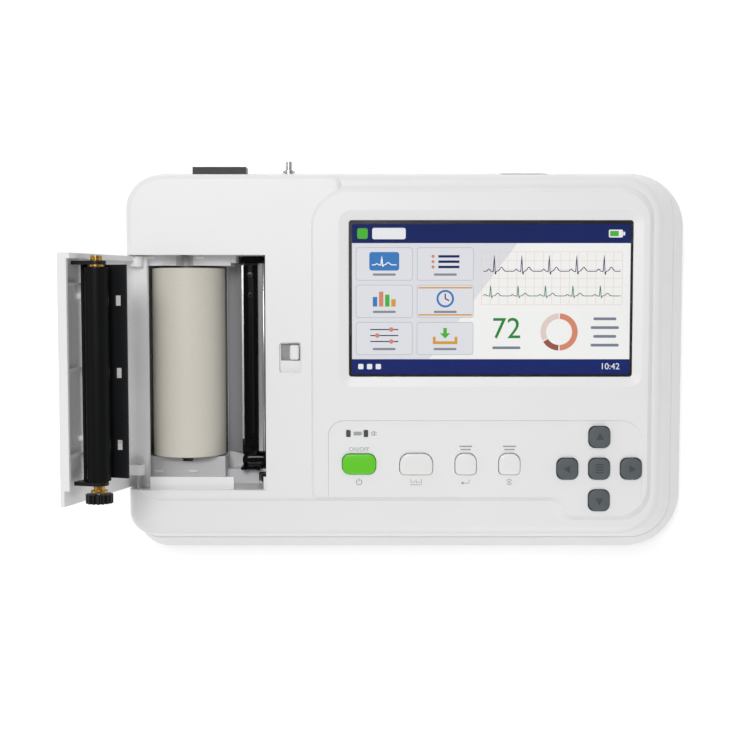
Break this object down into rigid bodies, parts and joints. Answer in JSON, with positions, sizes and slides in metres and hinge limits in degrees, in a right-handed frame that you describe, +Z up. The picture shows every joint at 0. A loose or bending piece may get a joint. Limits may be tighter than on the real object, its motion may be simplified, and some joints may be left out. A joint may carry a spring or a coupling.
{
  "type": "ecg machine",
  "caption": "Flat desktop ECG recorder with a colour screen, push keys and arrow pad, and a hinged paper door with platen roller over a thermal chart paper roll.",
  "frame": {"origin": "on the flat underside of the base case, above the feet, below the midpoint of the width of the case's seam", "axes": "+X to the right of the operator, +Y to the back with the connectors, +Z up"},
  "size_m": [0.3538, 0.2328, 0.1343],
  "materials": {
    "moulded_white": "satin",
    "moulded_black": "satin",
    "key_white": "satin",
    "key_green": "satin",
    "key_grey": "matt",
    "screen": "polished",
    "display": "matt",
    "lens": "polished",
    "paper": "matt",
    "card": "matt",
    "platen": "matt",
    "foot": "matt",
    "steel": "ground",
    "brass": "turned",
    "board": "satin",
    "cell": "satin"
  },
  "bodies": {
    "housing": {"base_case": "moulded_white", "top_case": "moulded_white", "battery_cover": "moulded_white", "battery_pack": "cell", "rubber_feet": "foot", "case_screws": "steel", "paper_well": "moulded_white", "paper_spindle": "moulded_white", "print_head": "moulded_black", "head_bracket": "steel", "guide_bar": "steel", "head_blocks": "moulded_black", "gear_arbor": "steel", "stepper_motor": "steel", "hinge_pins": "steel", "screen_glass": "screen", "lcd_panel": "display", "indicator_lenses": "lens", "keypad_board": "board", "main_board": "board", "lead_connector": "moulded_black", "ground_pin": "steel", "mains_inlet": "moulded_black"},
    "door": {"door_shell": "moulded_white", "roller_carrier": "moulded_black", "roller_bushings": "brass"},
    "platen": {"platen_shaft": "steel", "platen_rubber": "platen", "platen_gear": "moulded_black"},
    "roll": {"paper_roll": "paper", "roll_core": "card"},
    "drive": {"drive_gear": "moulded_black"},
    "pinion": {"motor_pinion": "brass"},
    "latch": {"latch_slider": "key_white"},
    "power_button": {"power_key": "key_green"},
    "print_button": {"print_key": "key_white"},
    "mode_button": {"mode_key": "key_white"},
    "lead_button": {"lead_key": "key_white"},
    "up_button": {"up_key": "key_grey"},
    "down_button": {"down_key": "key_grey"},
    "left_button": {"left_key": "key_grey"},
    "right_button": {"right_key": "key_grey"},
    "enter_button": {"enter_key": "key_grey"}
  },
  "joints": [
    {"name": "paper_door_hinge", "type": "hinge", "parent": "housing", "child": "door", "pos_m": [-0.1532, 0, 0.06], "axis": [0, 1, 0], "range_deg": [0, 107]},
    {"name": "platen_roller_spin", "type": "hinge", "parent": "door", "child": "platen", "pos_m": [-0.16288, 0, 0.12313], "axis": [0, 1, 0], "continuous": true},
    {"name": "paper_roll_spin", "type": "hinge", "parent": "housing", "child": "roll", "pos_m": [-0.1269, 0, 0.039], "axis": [0, 1, 0], "continuous": true},
    {"name": "drive_gear_spin", "type": "hinge", "parent": "housing", "child": "drive", "pos_m": [-0.07467, -0.0692, 0.04195], "axis": [0, 1, 0], "continuous": true},
    {"name": "motor_pinion_spin", "type": "hinge", "parent": "housing", "child": "pinion", "pos_m": [-0.06801, -0.0692, 0.03041], "axis": [0, 1, 0], "continuous": true},
    {"name": "door_latch_slide", "type": "slide", "parent": "housing", "child": "latch", "axis": [-1, 0, 0], "range_m": [0, 0.004], "stiffness_N_per_m": 250},
    {"name": "power_key_press", "type": "slide", "parent": "housing", "child": "power_button", "axis": [0, 0, -1], "range_m": [0, 0.0012], "stiffness_N_per_m": 500},
    {"name": "print_key_press", "type": "slide", "parent": "housing", "child": "print_button", "axis": [0, 0, -1], "range_m": [0, 0.0012], "stiffness_N_per_m": 500},
    {"name": "mode_key_press", "type": "slide", "parent": "housing", "child": "mode_button", "axis": [0, 0, -1], "range_m": [0, 0.0012], "stiffness_N_per_m": 500},
    {"name": "lead_key_press", "type": "slide", "parent": "housing", "child": "lead_button", "axis": [0, 0, -1], "range_m": [0, 0.0012], "stiffness_N_per_m": 500},
    {"name": "up_key_press", "type": "slide", "parent": "housing", "child": "up_button", "axis": [0, 0, -1], "range_m": [0, 0.0012], "stiffness_N_per_m": 500},
    {"name": "down_key_press", "type": "slide", "parent": "housing", "child": "down_button", "axis": [0, 0, -1], "range_m": [0, 0.0012], "stiffness_N_per_m": 500},
    {"name": "left_key_press", "type": "slide", "parent": "housing", "child": "left_button", "axis": [0, 0, -1], "range_m": [0, 0.0012], "stiffness_N_per_m": 500},
    {"name": "right_key_press", "type": "slide", "parent": "housing", "child": "right_button", "axis": [0, 0, -1], "range_m": [0, 0.0012], "stiffness_N_per_m": 500},
    {"name": "enter_key_press", "type": "slide", "parent": "housing", "child": "enter_button", "axis": [0, 0, -1], "range_m": [0, 0.0012], "stiffness_N_per_m": 500}
  ],
  "couplings": [
    {"joint": "motor_pinion_spin", "follows": "drive_gear_spin", "ratio": -2.3}
  ]
}
